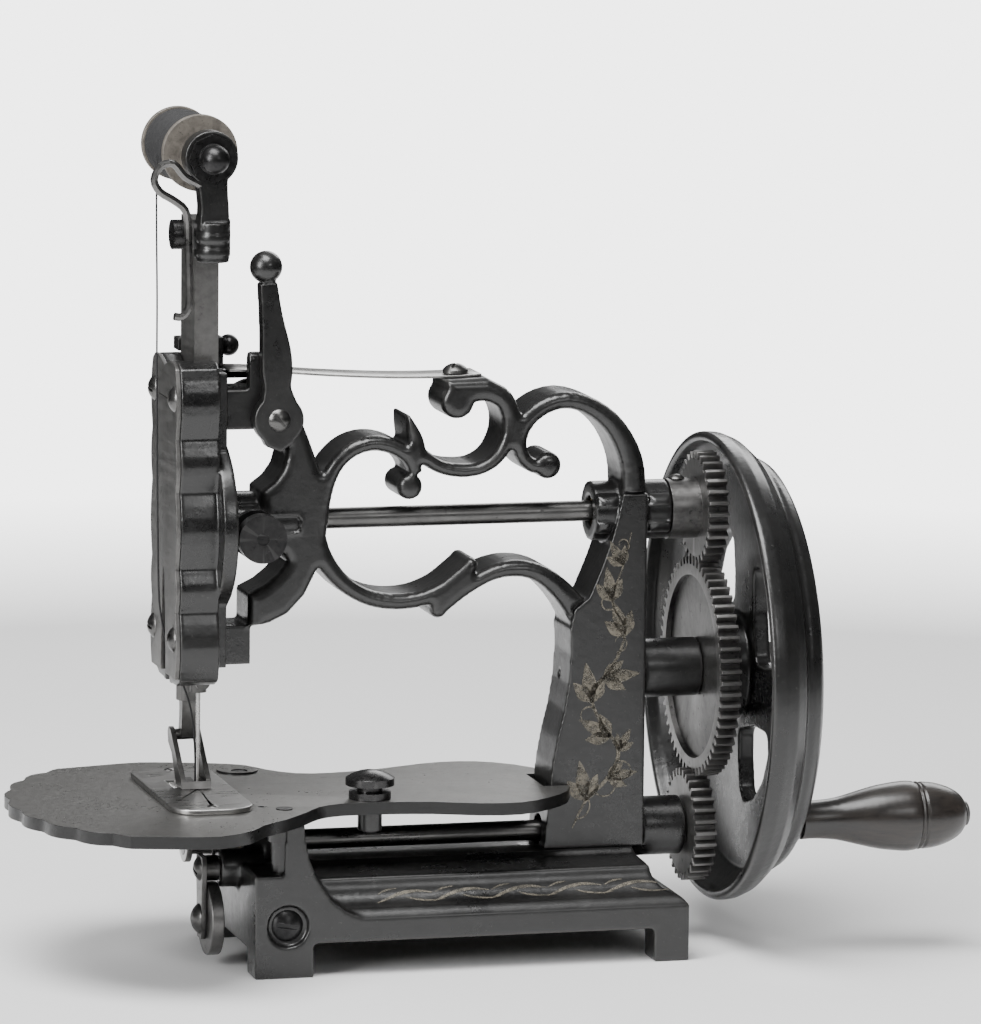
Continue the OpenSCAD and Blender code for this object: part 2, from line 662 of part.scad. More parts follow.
module thread_guide() {
    color(STEEL) tube(smooth(guide_route, 3), 1.4);
}
module spool_spindle() {
    color(STEEL) {
        rod_y(-26, spool_y + spool_length + 3, 2.5, spool_x, spool_z);
        translate([spool_x, -20.6, spool_z]) rotate([90, 0, 0]) cylinder(h = 1.8, r = 8.6, $fn = 8);
        rod_y(-24.4, -22, 5.4, spool_x, spool_z);
        translate([spool_x, -25.4, spool_z]) sphere(r = 5.2);
        rod_y(-12.4, spool_y - gap, 4.6, spool_x, spool_z);
        rod_y(spool_y + spool_length + gap, spool_y + spool_length + 3.4, 4.6, spool_x, spool_z);
    }
}
thread_route = [[-114.2, 10, 289], [-115.4, 4, 264], [-116, 0, 240], [-116, 0, 215], [-115.8, 0, 190], [-115.6, 0, 165],
    [-115.2, 0, 140], [-114.6, 0, 128], [-113, 0, 119], [-110.5, 0, 110], [-106.5, 0, 101], [-103, 0, 90], [-101.6, 0, 76],
    [-101.5, 0, 58], [-101.2, 0, 53]];
module thread() {
    color(STEEL) tube(smooth(thread_route, 4), 0.35);
}
module spool() {
    back = spool_y + spool_length;
    color(WOOD) difference() {
        union() {
            rod_y(spool_y, spool_y + flange_t, spool_r, spool_x, spool_z);
            rod_y(spool_y + flange_t, back - flange_t, 7, spool_x, spool_z);
            rod_y(back - flange_t, back, spool_r - 0.4, spool_x, spool_z);
        }
        rod_y(spool_y - 1, back + 1, 2.5 + running, spool_x, spool_z);
    }
}
module spool_thread() {
    color(IRON) difference() {
        rod_y(spool_y + flange_t, spool_y + spool_length - flange_t, 12.7, spool_x, spool_z);
        rod_y(spool_y, spool_y + spool_length, 7, spool_x, spool_z);
    }
}

// ---------- turning parts ----------
// A spur gear in (y, z) with straight-sided, backed-off teeth
module gear_outline(teeth) {
    pitch_r = gear_module * teeth / 2;
    tip_r = pitch_r + 1.15;
    root_r = pitch_r - 1.5;
    step = 360 / teeth;
    function turned(r, a) = [r * cos(a), r * sin(a)];
    polygon([for (i = [0:teeth - 1]) for (p = [[root_r, -0.285], [tip_r, -0.13], [tip_r, 0.13], [root_r, 0.285]])
        turned(p[0], (i + p[1]) * step)]);
}
module gear(x0, z, teeth, width = gear_width) {
    translate([0, 0, z]) slab_x(x0, x0 + width) gear_outline(teeth);
}
module main_shaft() {
    color(STEEL) rod_x(-94.6, 92.4, shaft_r, 0, top_z);
}
module top_gear() {
    color(STEEL) difference() {
        union() {
            gear(84, top_z, pinion_teeth);
            rod_x(73, 84.5, 11, 0, top_z);
        }
        rod_x(70, 95, shaft_r, 0, top_z);
        rod_z(top_z, top_z + 15, 1.8, 77, 0);
    }
}
module set_screw() {
    color(STEEL) translate([77, 0, top_z + 11]) screw(3, 1.6, 1.8, 7, 0);
}
module crank_disc() {
    color(STEEL) difference() {
        union() {
            rod_x(-98.8, -94.2, 13.4, 0, top_z);
            rod_x(-99.6, -98.7, 2, 0, top_z - stroke / 2);
        }
        rod_x(-94.6, -94, shaft_r, 0, top_z);
    }
}
module wheel_gear() {
    color(STEEL) difference() {
        gear(gear_x, wheel_z, wheel_teeth);
        rod_x(gear_x - 1, gear_x + 2, 33.5, 0, wheel_z);
        rod_x(gear_x + 3, 95, 12, 0, wheel_z);
        rod_x(80, 95, 5 + running, 0, wheel_z);
    }
}
module window_outline() {
    offset(r = 4) offset(delta = -4)
        polygon([[21.5, 9], [28, -8], [37, -22], [44, -19], [49.5, -8], [50.5, 6], [47, 17.5], [41, 19], [31, 15]]);
}
module hand_wheel() {
    web_x = wheel_x + 12;
    web_t = 6;
    back = wheel_x + rim_width;
    color(IRON) difference() {
        union() {
            translate([0, 0, wheel_z]) rotate([0, 90, 0]) rotate_extrude($fn = 96) polygon([
                [wheel_r - 3.4, wheel_x], [wheel_r - 0.8, wheel_x], [wheel_r, wheel_x + 1.2], [wheel_r - 0.3, wheel_x + 5.5],
                [wheel_r - 2.2, wheel_x + 10], [wheel_r - 6.2, wheel_x + 14.3], [wheel_r - 8.7, wheel_x + 15.2],
                [wheel_r - 9.5, wheel_x + 16.6], [wheel_r - 9.3, wheel_x + 18.2], [wheel_r - 11, back - 1.8],
                [wheel_r - 14, back], [wheel_r - 15.6, back], [wheel_r - 15.6, web_x], [wheel_r - 11, web_x],
                [wheel_r - 7.2, wheel_x + 8.6], [wheel_r - 4.2, wheel_x + 4.4]]);
            translate([0, 0, wheel_z]) slab_x(web_x, web_x + web_t) difference() {
                circle(r = wheel_r - 12, $fn = 96);
                for (i = [0:windows - 1]) rotate(360 * i / windows + window_turn) window_outline();
            }
            rod_x(gear_x + gear_width - 4, 110.6, 12, 0, wheel_z);
            rod_x(gear_x + gear_width, web_x + 1, 19, 0, wheel_z);
            rod_x(web_x, back, 7, crank_y, wheel_z - crank_drop);
        }
        rod_x(70, 120, 5 + running, 0, wheel_z);
        rod_x(95, 115, 3.5, crank_y, wheel_z - crank_drop);
    }
}
module crank_spindle() {
    color(STEEL) rod_x(101, 174, 3.5, crank_y, wheel_z - crank_drop);
}
module grip() {
    color(WOOD) translate([0, crank_y, wheel_z - crank_drop]) rotate([0, 90, 0]) rotate_extrude($fn = 64)
        polygon(concat([[3.5 + running, 112.4], [7, 112.4]],
            [for (p = smooth([[7, 112.8], [6.9, 118], [7.7, 126], [9.7, 134], [11.6, 142], [grip_r, 151], [grip_r - 0.2, 155]], 3)) p],
            [[grip_r - 0.9, 155.8], [grip_r - 0.3, 156.6], [grip_r - 1, 157.4]],
            [for (p = smooth([[grip_r - 0.5, 158.2], [11.7, 163], [10, 168.4], [7.6, 172.4], [5, 174.4]], 3)) p],
            [[3.5 + running, 174.4]]));
}
module grip_cap() {
    color(STEEL) {
        rod_x(174, 174.7, 3.5, crank_y, wheel_z - crank_drop);
        translate([168.6, crank_y, wheel_z - crank_drop]) rotate([0, 90, 0]) intersection() {
            sphere(r = 8.2);
            translate([0, 0, 6.1]) cylinder(h = 4, r = 4.4);
        }
    }
}
module lower_shaft() {
    color(STEEL) rod_x(-106, 89.4, shaft_r, 0, low_z);
}
module lower_gear() {
    color(STEEL) difference() {
        gear(80.4, low_z, pinion_teeth, 8);
        rod_x(75, 95, shaft_r, 0, low_z);
    }
}
module looper() {
    color(STEEL) difference() {
        translate([0, 0, low_z]) slab_x(-105.9, -103.6) {
            circle(r = 6.4);
            polygon(concat([for (a = [-60:12:120]) (6.4 + 2 * (a + 60) / 180) * [cos(a), sin(a)]], arc(0, 0, 4.5, 118, -60, 12)));
        }
        rod_x(-107, -100, shaft_r, 0, low_z);
    }
}
module feed_cam() {
    color(STEEL) difference() {
        rod_x(-96, -91, 6.4, 1.6, low_z);
        rod_x(-97, -90, shaft_r, 0, low_z);
    }
}

// ---------- feed rocker ----------
module rocker_shaft() {
    color(STEEL) rod_x(-103, -79.4, 3, rocker_y, rocker_z);
}
module rocker_arm() {
    color(STEEL) difference() {
        union() {
            slab_x(-103, -101.2) ribbon([[rocker_y, rocker_z + 4.8, 9], [rocker_y, rocker_z, 11], [rocker_y, 25, 8.4], [rocker_y, 17, 8.6], [rocker_y, 10, 6.4]]);
            rod_x(-101.2, -96.3, 4.6, rocker_y, rocker_z);
        }
        rod_x(-108, -95, 3, rocker_y, rocker_z);
        rod_x(-108, -101, 1.6, rocker_y, rocker_disc_z);
    }
}
module rocker_screws() {
    color(STEEL) {
        translate([-103, rocker_y, rocker_z]) rotate([0, -90, 0]) screw(4.6, 2.2, 2, 0.5, 60);
        translate([-103, rocker_y, rocker_disc_z]) rotate([0, -90, 0]) screw(5.4, 3, 1.6, 6.4, 0);
    }
}
module rocker_disc() {
    color(STEEL) difference() {
        rod_x(-100.9, -96.4, 13.2, rocker_y, rocker_disc_z);
        rod_x(-105, -95, 1.6 + running, rocker_y, rocker_disc_z);
    }
}
module feed_bar() {
    color(STEEL) block(-111, -105, -14, 26, 50.2, 54.2);
}
module feed_dog() {
    color(STEEL) slab_x(-108.4, -105.6) polygon(concat([[3.6, 54.2], [3.6, 61]],
        [for (i = [0:4]) each [[4.4 + 2 * i, 61.9], [5.6 + 2 * i, 61]]], [[14.4, 61], [14.4, 54.2]]));
}

// ---------- knobs ----------
module lock_knob() {
    color(STEEL) difference() {
        union() {
            rod_y(-28.5, -6.9, 3 - running, -83.5, 156);
            rod_y(-29, -23.6, 8.7, -83.5, 156);
            rod_y(-23.7, -16.6, 5.4, -83.5, 156);
            rod_y(-16.7, -13.6, 8.7, -83.5, 156);
        }
        rod_y(-30, -28.6, 2.3, -83.5, 156);
    }
}
module bed_knob() {
    color(IRON) {
        rod_z(48, 66, 3, knob_x, knob_y);
        rod_z(bed_top + 0.1, bed_top + 2.6, 7.6, knob_x, knob_y);
        rod_z(bed_top + 2.5, 65, 4.6, knob_x, knob_y);
        translate([knob_x, knob_y, 65]) intersection() {
            cylinder(h = 8, r = 8.8);
            translate([0, 0, -9.6]) sphere(r = 15);
        }
    }
}

centred() base();
centred() column_bolts();
centred() arm_frame();
centred() head_casting();
centred() face_plate();
centred() face_plate_screws();
centred() bed_plate();
centred() needle_plate();
centred() needle_plate_screws();
centred() bed_posts();
centred() block_screw();
centred() bed_knob_nut();
centred() feed_guide();
centred() gear_stud();
centred() stud_nut();
centred() main_bushings();
centred() lower_bushings();
centred() leaf_spring();
centred() spring_screw();
centred() lifter_lever();
centred() lifter_cam();
centred() lever_screw();
centred() presser_bar();
centred() lifter_yoke();
centred() yoke_knob();
centred() presser_foot();
centred() foot_screw();
centred() needle_bar();
centred() needle_clamp();
centred() needle();
centred() spool_bracket();
centred() bracket_nut();
centred() thread_guide();
centred() spool_spindle();
centred() thread();
centred() spool();
centred() spool_thread();
centred() main_shaft();
centred() top_gear();
centred() set_screw();
centred() crank_disc();
centred() wheel_gear();
centred() hand_wheel();
centred() crank_spindle();
centred() grip();
centred() grip_cap();
centred() lower_shaft();
centred() lower_gear();
centred() looper();
centred() feed_cam();
centred() rocker_shaft();
centred() rocker_arm();
centred() rocker_screws();
centred() rocker_disc();
centred() feed_bar();
centred() feed_dog();
centred() lock_knob();
centred() bed_knob();
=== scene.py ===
import json
import math

import bpy
import numpy as np
from mathutils import Matrix, Vector
from mathutils.kdtree import KDTree


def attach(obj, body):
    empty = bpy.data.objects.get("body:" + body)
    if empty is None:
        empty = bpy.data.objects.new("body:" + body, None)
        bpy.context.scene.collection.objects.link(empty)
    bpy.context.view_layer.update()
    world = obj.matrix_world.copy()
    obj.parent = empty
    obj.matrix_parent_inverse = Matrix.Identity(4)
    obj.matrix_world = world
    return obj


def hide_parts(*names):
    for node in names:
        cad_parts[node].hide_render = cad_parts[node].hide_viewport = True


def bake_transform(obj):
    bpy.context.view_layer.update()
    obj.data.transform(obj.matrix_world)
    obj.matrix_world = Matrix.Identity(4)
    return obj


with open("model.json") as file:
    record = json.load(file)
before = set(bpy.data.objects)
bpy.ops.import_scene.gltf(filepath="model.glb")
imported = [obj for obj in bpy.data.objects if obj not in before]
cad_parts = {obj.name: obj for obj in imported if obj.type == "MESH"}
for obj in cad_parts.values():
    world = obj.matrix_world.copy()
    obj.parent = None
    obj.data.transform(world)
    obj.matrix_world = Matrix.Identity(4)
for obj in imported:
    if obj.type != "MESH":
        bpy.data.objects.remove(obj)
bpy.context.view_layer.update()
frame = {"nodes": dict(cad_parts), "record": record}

MM = 0.001
COLUMN_Y = 12.14  # just proud of the column's front, mm
WELD_REACH = 0.00001  # joins the doubled vertices of a CAD mesh, m
SHIFT = -2.9  # the same shift as in the CAD source, mm


def at(x, y, z):
    """A point of the CAD source, in metres of the frame."""
    return Vector(((x + SHIFT) * MM, y * MM, z * MM))


# ---------- materials ----------
def shader(name):
    mat = bpy.data.materials.new(name)
    mat.use_nodes = True
    tree = mat.node_tree
    tree.nodes.clear()
    out = tree.nodes.new("ShaderNodeOutputMaterial")
    bsdf = tree.nodes.new("ShaderNodeBsdfPrincipled")
    tree.links.new(bsdf.outputs[0], out.inputs[0])
    return mat, tree, bsdf


def put(tree, socket, value):
    if isinstance(value, (int, float)):
        socket.default_value = value
    elif isinstance(value, tuple):
        socket.default_value = value if len(value) == 4 else (*value, 1.0)
    else:
        tree.links.new(value, socket)


def coords(tree, stretch=(1, 1, 1), turn=(0, 0, 0)):
    src = tree.nodes.new("ShaderNodeTexCoord")
    mp = tree.nodes.new("ShaderNodeMapping")
    mp.inputs["Scale"].default_value = stretch
    mp.inputs["Rotation"].default_value = turn
    tree.links.new(src.outputs["Object"], mp.inputs["Vector"])
    return mp.outputs[0]


def noise(tree, scale, detail=6, rough=0.6, stretch=(1, 1, 1), turn=(0, 0, 0), distort=0.0):
    n = tree.nodes.new("ShaderNodeTexNoise")
    n.inputs["Scale"].default_value = scale
    n.inputs["Detail"].default_value = detail
    n.inputs["Roughness"].default_value = rough
    n.inputs["Distortion"].default_value = distort
    tree.links.new(coords(tree, stretch, turn), n.inputs["Vector"])
    return n.outputs[0]


def remap(tree, value, lo, hi, to_lo=0.0, to_hi=1.0):
    n = tree.nodes.new("ShaderNodeMapRange")
    put(tree, n.inputs["Value"], value)
    for key, v in (("From Min", lo), ("From Max", hi), ("To Min", to_lo), ("To Max", to_hi)):
        n.inputs[key].default_value = v
    return n.outputs[0]


def maths(tree, op, a, b=0.0):
    n = tree.nodes.new("ShaderNodeMath")
    n.operation = op
    put(tree, n.inputs[0], a)
    put(tree, n.inputs[1], b)
    return n.outputs[0]


def mix(tree, fac, a, b):
    n = tree.nodes.new("ShaderNodeMix")
    n.data_type = "RGBA"
    put(tree, n.inputs[0], fac)
    put(tree, n.inputs[6], a)
    put(tree, n.inputs[7], b)
    return n.outputs[2]


def bump(tree, bsdf, height, strength, distance):
    n = tree.nodes.new("ShaderNodeBump")
    n.inputs["Strength"].default_value = strength
    n.inputs["Distance"].default_value = distance
    put(tree, n.inputs["Height"], height)
    tree.links.new(n.outputs[0], bsdf.inputs["Normal"])


def pointiness(tree):
    return tree.nodes.new("ShaderNodeNewGeometry").outputs["Pointiness"]


def japan(name, tone=0.003, wear=0.5, gloss=0.2):
    """Old black japan over cast iron: glossy, mottled, thin on the edges."""
    mat, t, b = shader(name)
    cloud = noise(t, 26, 8, 0.62)
    fine = noise(t, 260, 6, 0.7)
    body = mix(t, remap(t, cloud, 0.35, 0.68), (tone, tone, tone * 1.02), (tone * 3, tone * 2.9, tone * 2.8))
    specks = remap(t, noise(t, 900, 3, 0.5), 0.66, 0.74)
    body = mix(t, maths(t, "MULTIPLY", specks, 0.3), body, (0.08, 0.078, 0.075))
    edge = remap(t, pointiness(t), 0.512, 0.57)
    rub = maths(t, "MULTIPLY", edge, remap(t, noise(t, 70, 8, 0.7), 0.42, 0.6))
    rub = maths(t, "MULTIPLY", rub, wear)
    body = mix(t, rub, body, (0.11, 0.108, 0.104))
    put(t, b.inputs["Base Color"], body)
    rough = remap(t, cloud, 0.3, 0.75, gloss, gloss + 0.2)
    rough = maths(t, "ADD", rough, remap(t, fine, 0.4, 0.7, 0.0, 0.09))
    put(t, b.inputs["Roughness"], maths(t, "ADD", rough, maths(t, "MULTIPLY", rub, 0.25)))
    put(t, b.inputs["Metallic"], maths(t, "MULTIPLY", rub, 0.9))
    b.inputs["Specular IOR Level"].default_value = 0.6
    b.inputs["Coat Weight"].default_value = 0.25
    b.inputs["Coat Roughness"].default_value = 0.2
    uneven = maths(t, "ADD", noise(t, 120, 5, 0.55), maths(t, "MULTIPLY", noise(t, 700, 3, 0.5), 0.25))
    bump(t, b, uneven, 0.32, 0.0006)
    return mat


def steel(name, light, dark, rough=0.3, metallic=1.0, grain=(1, 1, 1), grain_scale=500, scratch=0.25,
          spots=0.3, wear=0.25, blotch=32, relief=0.0002):
    """Aged machined steel with grain, scratches, dark spots, brighter worn edges and painted shade darkening
    its hollows.
    """
    mat, t, b = shader(name)
    cloud = noise(t, blotch, 9, 0.65, distort=0.4)
    body = mix(t, remap(t, cloud, 0.32, 0.7), dark, light)
    lines = noise(t, grain_scale, 4, 0.6, stretch=grain)
    scored = tuple(min(1, c * 1.5) for c in light)
    body = mix(t, maths(t, "MULTIPLY", remap(t, lines, 0.35, 0.65), scratch), body, scored)
    pits = remap(t, noise(t, 240, 5, 0.7), 0.62, 0.7)
    body = mix(t, maths(t, "MULTIPLY", pits, spots), body, tuple(c * 0.3 for c in dark))
    point = pointiness(t)
    rubbed = tuple(min(1, c * 1.7) for c in light)
    body = mix(t, maths(t, "MULTIPLY", remap(t, point, 0.515, 0.58), wear), body, rubbed)
    # Painted shade: concave spots (low pointiness) are darkened toward a quarter of the dark tone.
    body = mix(t, maths(t, "MULTIPLY", remap(t, point, 0.49, 0.44), 0.7), body, tuple(c * 0.25 for c in dark))
    put(t, b.inputs["Base Color"], body)
    b.inputs["Metallic"].default_value = metallic
    r = remap(t, cloud, 0.3, 0.7, rough + 0.12, rough - 0.04)
    r = maths(t, "ADD", r, remap(t, lines, 0.3, 0.7, -0.04, 0.07))
    put(t, b.inputs["Roughness"], maths(t, "ADD", r, maths(t, "MULTIPLY", pits, 0.2)))
    bump(t, b, maths(t, "SUBTRACT", lines, maths(t, "MULTIPLY", pits, 0.5)), 0.22, relief)
    return mat


def cloth_plate(name):
    """Polished iron on top, black japan round the edge and below."""
    mat = steel(name, (0.27, 0.265, 0.257), (0.11, 0.108, 0.104), 0.28, 0.85,
                spots=0.3, scratch=0.15, wear=0.2, blotch=18)
    t = mat.node_tree
    b = t.nodes["Principled BSDF"]
    geo = t.nodes.new("ShaderNodeNewGeometry")
    axes = t.nodes.new("ShaderNodeSeparateXYZ")
    t.links.new(geo.outputs["Normal"], axes.inputs[0])
    rag = maths(t, "MULTIPLY", noise(t, 90, 6, 0.7), 0.12)
    top = remap(t, maths(t, "ADD", axes.outputs["Z"], rag), 0.86, 1.02)
    old = b.inputs["Base Color"].links[0].from_socket
    put(t, b.inputs["Base Color"], mix(t, top, (0.006, 0.006, 0.006), old))
    put(t, b.inputs["Metallic"], maths(t, "MULTIPLY", top, 0.85))
    return mat


def wood(name, light, dark, rough, stretch, coat):
    mat, t, b = shader(name)
    grain = noise(t, 260, 7, 0.65, stretch=stretch, distort=0.5)
    pores = noise(t, 900, 3, 0.6, stretch=stretch)
    body = mix(t, remap(t, grain, 0.33, 0.66), dark, light)
    body = mix(t, maths(t, "MULTIPLY", remap(t, pores, 0.6, 0.72), 0.6), body, tuple(c * 0.35 for c in dark))
    put(t, b.inputs["Base Color"], body)
    put(t, b.inputs["Roughness"], remap(t, grain, 0.3, 0.7, rough, rough + 0.16))
    b.inputs["Coat Weight"].default_value = coat
    b.inputs["Coat Roughness"].default_value = 0.25
    bump(t, b, maths(t, "ADD", grain, pores), 0.25, 0.0002)
    return mat


def cotton(name, tone):
    mat, t, b = shader(name)
    lay = noise(t, 1400, 3, 0.6, stretch=(0.4, 1, 0.4))
    body = mix(t, remap(t, lay, 0.35, 0.65), tuple(c * 0.5 for c in tone), tone)
    put(t, b.inputs["Base Color"], body)
    put(t, b.inputs["Roughness"], remap(t, lay, 0.3, 0.7, 0.6, 0.8))
    b.inputs["Sheen Weight"].default_value = 0.05
    bump(t, b, lay, 0.4, 0.0002)
    return mat


def pale_ground(name, tone):
    """A plain pale ground that fades out at its far rim."""
    mat, t, b = shader(name)
    n = noise(t, 3, 4, 0.5)
    put(t, b.inputs["Base Color"], mix(t, n, tuple(c * 0.97 for c in tone), tone))
    put(t, b.inputs["Roughness"], remap(t, noise(t, 60, 4), 0.3, 0.7, 0.75, 0.85))
    b.inputs["Specular IOR Level"].default_value = 0.15
    length = t.nodes.new("ShaderNodeVectorMath")
    length.operation = "LENGTH"
    t.links.new(coords(t), length.inputs[0])
    clear = t.nodes.new("ShaderNodeBsdfTransparent")
    blend = t.nodes.new("ShaderNodeMixShader")
    fade = remap(t, length.outputs["Value"], 0.72, 1.12)
    t.links.new(fade, blend.inputs[0])
    t.links.new(b.outputs[0], blend.inputs[1])
    t.links.new(clear.outputs[0], blend.inputs[2])
    t.links.new(blend.outputs[0], t.nodes["Material Output"].inputs[0])
    return mat


MATS = {
    "japanned_iron": japan("japanned_iron"),
    "bed_iron": cloth_plate("bed_iron"),
    "face_steel": steel("face_steel", (0.17, 0.167, 0.163), (0.06, 0.059, 0.057), 0.38, 0.9,
                        grain=(1, 0.12, 1), grain_scale=420, spots=0.55, scratch=0.35, blotch=22),
    "bright_steel": steel("bright_steel", (0.42, 0.415, 0.405), (0.2, 0.198, 0.195), 0.26, 1.0,
                          grain=(0.2, 1, 1), spots=0.35),
    "gear_steel": steel("gear_steel", (0.16, 0.157, 0.154), (0.06, 0.059, 0.058), 0.34, 0.95,
                        spots=0.6, wear=0.7),
    "shaft_steel": steel("shaft_steel", (0.14, 0.138, 0.135), (0.05, 0.049, 0.048), 0.28, 1.0,
                         grain=(0.15, 1, 1), spots=0.5, wear=0.5),
    "brass": steel("brass", (0.42, 0.34, 0.2), (0.24, 0.19, 0.11), 0.34),
    "grip_wood": wood("grip_wood", (0.026, 0.02, 0.016), (0.008, 0.0065, 0.006), 0.28, (0.12, 1, 1), 0.45),
    "spool_wood": wood("spool_wood", (0.15, 0.135, 0.115), (0.07, 0.062, 0.053), 0.5, (1, 0.3, 1), 0.1),
    "dark_cotton": cotton("dark_cotton", (0.01, 0.01, 0.011)),
}
BLUED = steel("blued_steel", (0.055, 0.054, 0.054), (0.018, 0.018, 0.019), 0.26, 0.9, spots=0.3, wear=0.6)
WORN = steel("worn_steel", (0.12, 0.118, 0.115), (0.045, 0.044, 0.043), 0.3, 0.95, spots=0.5, wear=0.5)
SLOT = {p["node"]: p["material_slot"] for p in frame["record"]["subparts"]}


# ---------- mesh helpers ----------
def smooth_faces(mesh):
    mesh.polygons.foreach_set("use_smooth", [True] * len(mesh.polygons))


def apply_modifiers(obj):
    dg = bpy.context.evaluated_depsgraph_get()
    mesh = bpy.data.meshes.new_from_object(obj.evaluated_get(dg))
    old = obj.data
    obj.modifiers.clear()
    obj.data = mesh
    bpy.data.meshes.remove(old)


def paint(obj, slot_name):
    obj.data.materials.clear()
    obj.data.materials.append(MATS[slot_name])


def casting(node, piece, body, voxel, passes, shape=None):
    """A rounded casting in place of a CAD node: remeshed finely, softened, then shaped."""
    src = frame["nodes"][node]
    obj = bpy.data.objects.new(piece, src.data.copy())
    bpy.context.scene.collection.objects.link(obj)
    weld = obj.modifiers.new("weld", "WELD")
    weld.merge_threshold = WELD_REACH
    re = obj.modifiers.new("remesh", "REMESH")
    re.mode = "VOXEL"
    re.voxel_size = voxel * MM
    re.adaptivity = 0.0
    sm = obj.modifiers.new("soften", "SMOOTH")
    sm.factor = 0.5
    sm.iterations = passes
    apply_modifiers(obj)
    if shape:
        shape(obj)
    smooth_faces(obj.data)
    paint(obj, SLOT[node])
    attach(obj, body)
    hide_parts(node)
    return obj


def soften_edges(obj, width, segments=2, angle=32):
    """Small worn edges on a machined CAD part."""
    weld = obj.modifiers.new("weld", "WELD")
    weld.merge_threshold = WELD_REACH
    bev = obj.modifiers.new("edges", "BEVEL")
    bev.width = width * MM
    bev.segments = segments
    bev.limit_method = "ANGLE"
    bev.angle_limit = math.radians(angle)
    bev.use_clamp_overlap = True
    even = obj.modifiers.new("normals", "WEIGHTED_NORMAL")
    even.weight = 100
    even.keep_sharp = False
    smooth_faces(obj.data)


def new_piece(name, verts, faces, body, slot_name, replaces=(), smooth=True):
    mesh = bpy.data.meshes.new(name)
    mesh.from_pydata([tuple(v) for v in verts], [], faces)
    mesh.update()
    if smooth:
        smooth_faces(mesh)
    obj = bpy.data.objects.new(name, mesh)
    bpy.context.scene.collection.objects.link(obj)
    paint(obj, slot_name)
    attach(obj, body)
    if replaces:
        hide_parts(*replaces)
    return obj


# ---------- castings ----------
SCROLLS_FROM, SCROLLS_TO = 0.1225, 0.2105  # heights between which the arm is scrollwork, m
SCROLL_HALF = 0.0104  # the scrolls lie within this of the middle plane, m
FACING = 0.75  # share of a normal along Y from which a face counts as front or back


def crown_arm(obj):
    """Raises the middle of every scroll, so its front and back faces are crowned, not flat."""
    mesh = obj.data
    n = len(mesh.vertices)
    co = np.empty(n * 3)
    no = np.empty(n * 3)
    mesh.vertices.foreach_get("co", co)
    mesh.vertices.foreach_get("normal", no)
    co, no = co.reshape(-1, 3), no.reshape(-1, 3)
    side = np.abs(no[:, 1]) < FACING
    zone = (co[:, 2] > SCROLLS_FROM) & (np.abs(co[:, 1]) < SCROLL_HALF) & (co[:, 2] < SCROLLS_TO)
    rim = co[side & zone & (np.abs(co[:, 1]) > 0.006)]
    tree = KDTree(len(rim))
    for i, p in enumerate(rim):
        tree.insert((p[0], 0.0, p[2]), i)
    tree.balance()
    reach, height = 0.0036, 0.0024
    for i in np.nonzero(zone & (np.abs(no[:, 1]) >= FACING) & (np.abs(co[:, 1]) > 0.008))[0]:
        d = tree.find((co[i, 0], 0.0, co[i, 2]))[2]
        u = min(d / reach, 1.0)
        co[i, 1] += math.copysign(height * math.sqrt(1 - (1 - u) ** 2), co[i, 1])
    mesh.vertices.foreach_set("co", co.ravel())
    mesh.update()


casting("arm_frame", "arm_casting", "frame", 0.6, 6, crown_arm)
casting("base", "base_casting", "frame", 0.7, 7)
casting("head_casting", "head_body", "frame", 0.6, 5)
casting("hand_wheel", "wheel_casting", "wheel", 0.65, 6)
casting("lifter_lever", "lever_casting", "lifter", 0.4, 8)
casting("spool_bracket", "bracket_casting", "needle_bar", 0.4, 7)
casting("lifter_yoke", "yoke_casting", "presser", 0.4, 5)

# ---------- machined parts: the CAD nodes with worn edges ----------
# Width in mm and segments of each bevel
EDGE = {"bed_plate": (1.5, 4), "face_plate": (0.35, 2), "needle_plate": (0.5, 2), "needle_bar": (0.5, 2),
        "presser_foot": (0.35, 2), "wheel_gear": (0.12, 1), "top_gear": (0.12, 1), "lower_gear": (0.12, 1),
        "rocker_arm": (0.4, 2), "rocker_disc": (0.5, 2), "lock_knob": (0.5, 3), "bed_knob": (0.5, 3),
        "spool": (0.5, 3), "stud_nut": (0.5, 2), "bed_posts": (0.4, 2), "main_shaft": (0.4, 2),
        "lower_shaft": (0.4, 2)}
SCREW_EDGE = (0.2, 2)
PLAIN = {"thread", "thread_guide", "needle"}
for name, obj in frame["nodes"].items():
    paint(obj, SLOT[name])
    if name in PLAIN:
        smooth_faces(obj.data)
    else:
        soften_edges(obj, *EDGE.get(name, SCREW_EDGE))

for name in ("spool_spindle", "lock_knob", "yoke_knob", "bracket_nut", "block_screw", "bed_knob"):
    frame["nodes"][name].data.materials[0] = BLUED
for name in ("presser_foot", "needle_clamp", "foot_screw", "presser_bar"):
    frame["nodes"][name].data.materials[0] = WORN

# ---------- wound thread ----------
def lathe_y(name, profile, centre, body, slot_name, replaces, sides=96):
    """Turns (y, radius) points round an axis along Y."""
    verts, faces = [], []
    for y, r in profile:
        for k in range(sides):
            a = 2 * math.pi * k / sides
            verts.append(at(centre[0] + r * math.cos(a), y, centre[1] + r * math.sin(a)))
    for i in range(len(profile) - 1):
        for k in range(sides):
            m = (k + 1) % sides
            faces.append((i * sides + k, i * sides + m, (i + 1) * sides + m, (i + 1) * sides + k))
    return new_piece(name, verts, faces, body, slot_name, replaces)


SPOOL = (-100.8, 291.0)
turns = []
steps = 420
for i in range(steps + 1):
    u = i / steps
    y = 1.15 + 33.65 * u
    belly = 12.35 + 0.25 * math.sin(math.pi * u) + 0.12 * math.sin(11 * u) + 0.08 * math.sin(31 * u + 1)
    turns.append((y, belly + 0.2 * abs(math.sin(math.pi * 60 * u))))
turns = [(1.15, 7.2)] + turns + [(34.8, 7.2)]
lathe_y("wound_thread", turns, SPOOL, "spool", "dark_cotton", ("spool_thread",))
